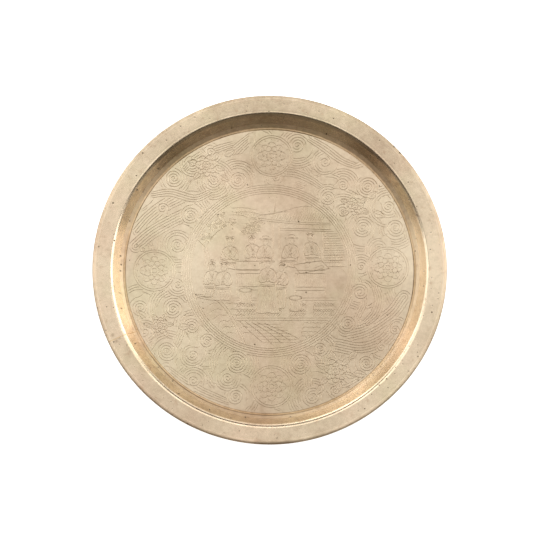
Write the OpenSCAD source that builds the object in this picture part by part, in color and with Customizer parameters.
// Round engraved serving tray in sheet brass.
// A flat floor plate is let into a strip that was bent into a ring, brazed end to end, and worked into
// a sloping wall with a flat flange. The flange's edge is rolled under over an iron wire.
// The tray stands on the ring's turned-in foot at z = 0, with its centre on the Z axis.

/* [Tray] */
// Overall diameter over the rolled edge
tray_d = 356; // [300:2:460]
// Depth of the well, from the floor plate's top to the flange's top
well_depth = 13.8; // [9:0.2:24]
// Width of the flange seen from above, from the shoulder to the rolled edge
flange_w = 15.4; // [12:0.2:30]
// Slope of the wall above the horizontal, in degrees
wall_angle = 48; // [40:1:70]

/* [Sheet metal] */
// Thickness of the ring's sheet
ring_t = 0.9; // [0.6:0.1:1.4]
// Thickness of the floor plate
plate_t = 1; // [0.8:0.1:1.6]
// Radius of the shoulder on its top side, where the wall turns into the flange
shoulder_r = 7.5; // [2:0.5:8]
// Radius of the foot on its top side, where the wall turns in under the floor plate
foot_r = 1.5; // [1:0.1:3]
// Width of the flat turned-in foot that carries the floor plate
foot_w = 7; // [4:0.5:14]

/* [Rolled edge] */
// Diameter of the wire in the rolled edge
wire_d = 2.8; // [2:0.1:4]
// Play all round between the wire and the sheet that is rolled over it
wire_play = 0.1; // [0.05:0.05:0.2]
// Gap that is left between the rolled sheet's end and the flange's underside
roll_gap = 0.2; // [0.1:0.05:0.5]
// Gap between the wire's two ends
wire_end_gap = 2; // [1:0.5:6]

/* [Joints] */
// Play between the floor plate's edge and the start of the foot's curve
plate_play = 0.1; // [0.05:0.05:0.5]
// Thickness of the solder between the floor plate and the foot
solder_film = 0.15; // [0.1:0.05:0.3]
// How far the solder in the crease stays below the floor plate's top, at the plate's edge
solder_low = 0.15; // [0.1:0.05:0.6]
// How far the solder runs up the wall, above the floor plate's top
solder_climb = 0.6; // [0:0.1:1]
// Width of the solder's fillet under the floor plate, inside the foot
solder_fillet = 1.4; // [0.5:0.1:3]
// Width of the brazed seam that closes the ring
seam_w = 0.6; // [0.4:0.1:1.2]
// Place of the seam round the tray, in degrees from +X
seam_at = 205; // [0:5:355]

/* [Engraved border] */
// Radius of the innermost groove round the floor's middle roundel
border_r = 79.5; // [50:0.5:110]
// Number of grooves in that border
border_count = 4; // [2:1:6]
// Distance from one groove to the next
border_pitch = 1.8; // [1:0.1:3]
// Width of a groove at the surface
groove_w = 0.5; // [0.3:0.1:0.8]
// Depth of a groove
groove_depth = 0.2; // [0.1:0.05:0.3]

/* [Hidden] */
$fn = 128;

brass = [0.86, 0.74, 0.52];
spelter = [0.80, 0.64, 0.40];
solder_grey = [0.50, 0.47, 0.42];
iron = [0.36, 0.34, 0.32];

BEND_STEPS = 8;          // facets in a bend of the sheet
ROLL_STEPS = 20;         // facets round the rolled edge, below its widest point
HOLLOW_STEPS = 6;        // facets in the hollow top of the solder

// Heights, from the surface that the tray stands on
plate_z = ring_t + solder_film;
floor_z = plate_z + plate_t;
rim_z = floor_z + well_depth;

// The ring's section, from its outer edge inwards
roll_r = wire_d / 2 + wire_play;                       // inside the rolled sheet
roll_centre = [tray_d / 2 - ring_t - roll_r, rim_z - ring_t - roll_r];
roll_end = -180 - asin((roll_r - roll_gap) / (roll_r + ring_t));
shoulder_centre = [tray_d / 2 - flange_w, rim_z - shoulder_r];
wall_rise = rim_z - ring_t - (shoulder_r + foot_r) * (1 - cos(wall_angle));
wall_run = wall_rise / tan(wall_angle);
foot_centre = [
    shoulder_centre[0] - (shoulder_r + foot_r) * sin(wall_angle) - wall_run,
    ring_t + foot_r
];
foot_inner_r = foot_centre[0] - foot_w;
plate_r = foot_centre[0] - plate_play;

// Top of the solder in the crease: it ends on the straight of the wall, or lower down on the
// foot's curve
crease_z = floor_z - solder_low;
climb_z = floor_z + solder_climb;
wall_start = foot_centre + foot_r * [sin(wall_angle), -cos(wall_angle)];
climb_on_wall = climb_z > wall_start[1];
climb_turn = climb_on_wall ? wall_angle : acos(1 - (climb_z - ring_t) / foot_r);
climb_end = climb_on_wall
    ? [wall_start[0] + (climb_z - wall_start[1]) / tan(wall_angle), climb_z]
    : foot_centre + foot_r * [sin(climb_turn), -cos(climb_turn)];

function arc(centre, r, from, to, steps) =
    [for (i = [0:steps]) let (a = from + (to - from) * i / steps) centre + r * [cos(a), sin(a)]];

// Hollow line that leaves its start level and steepens towards its end
function hollow(start, end, steps) =
    let (knee = [start[0] + 0.6 * (end[0] - start[0]), start[1]])
    [for (i = [0:steps - 1]) let (t = i / steps)
        (1 - t) * (1 - t) * start + 2 * t * (1 - t) * knee + t * t * end];

// Half section of the ring: foot, wall, shoulder, flange and rolled edge, all in one strip of sheet
module ring_section() {
    polygon(concat(
        [[foot_inner_r, 0], [foot_inner_r, ring_t]],
        arc(foot_centre, foot_r, -90, wall_angle - 90, BEND_STEPS),
        arc(shoulder_centre, shoulder_r, wall_angle + 90, 90, BEND_STEPS),
        arc(roll_centre, roll_r + ring_t, 90, 0, BEND_STEPS),
        arc(roll_centre, roll_r + ring_t, 0, roll_end, ROLL_STEPS),
        arc(roll_centre, roll_r, roll_end, 0, ROLL_STEPS),
        arc(roll_centre, roll_r, 0, 90, BEND_STEPS),
        arc(shoulder_centre, shoulder_r - ring_t, 90, wall_angle + 90, BEND_STEPS),
        arc(foot_centre, foot_r + ring_t, wall_angle - 90, -90, BEND_STEPS)
    ));
}

// Half section of the solder: fillet inside the foot, film under the plate, and the filled crease
// with its hollow top
module solder_section() {
    polygon(concat(
        [[foot_inner_r - solder_fillet, plate_z], [plate_r, plate_z]],
        hollow([plate_r, crease_z], climb_end, HOLLOW_STEPS),
        climb_on_wall ? [climb_end] : [],
        arc(foot_centre, foot_r, climb_turn - 90, -90, BEND_STEPS),
        [[foot_inner_r, ring_t], [foot_inner_r, ring_t / 3]]
    ));
}

// Slice of space that holds the seam across the whole strip
module seam_slice() {
    reach = tray_d / 2 - foot_inner_r + 4 * ring_t;
    rotate([0, 0, seam_at])
        translate([foot_inner_r - 2 * ring_t, -seam_w / 2, -ring_t])
            cube([reach, seam_w, rim_z + 2 * ring_t]);
}

module whole_ring() {
    rotate_extrude() ring_section();
}

// Engraved disc that closes the bottom of the well
module floor_plate() {
    color(brass)
    difference() {
        translate([0, 0, plate_z]) cylinder(r = plate_r, h = plate_t);
        for (i = [0:border_count - 1])
            border_groove(border_r + i * border_pitch);
    }
}

module border_groove(r) {
    translate([0, 0, floor_z])
        rotate_extrude()
            polygon([[r - groove_w, groove_depth], [r, -groove_depth], [r + groove_w, groove_depth]]);
}

// Wall, flange, foot and rolled edge, cut through at the seam
module rim_ring() {
    color(brass)
    difference() {
        whole_ring();
        seam_slice();
    }
}

// Iron wire in the rolled edge, with its open ends across from the seam
module edge_wire() {
    gap_angle = wire_end_gap / roll_centre[0] * 180 / PI;
    color(iron)
    rotate([0, 0, seam_at + 180 + gap_angle / 2])
        rotate_extrude(angle = 360 - gap_angle)
            translate(roll_centre) circle(d = wire_d);
}

// Soft solder that holds the floor plate in the ring
module joint_solder() {
    color(solder_grey)
    rotate_extrude() solder_section();
}

// Brazing metal that joins the strip's two ends
module seam_braze() {
    color(spelter)
    intersection() {
        whole_ring();
        seam_slice();
    }
}

floor_plate();
rim_ring();
edge_wire();
joint_solder();
seam_braze();
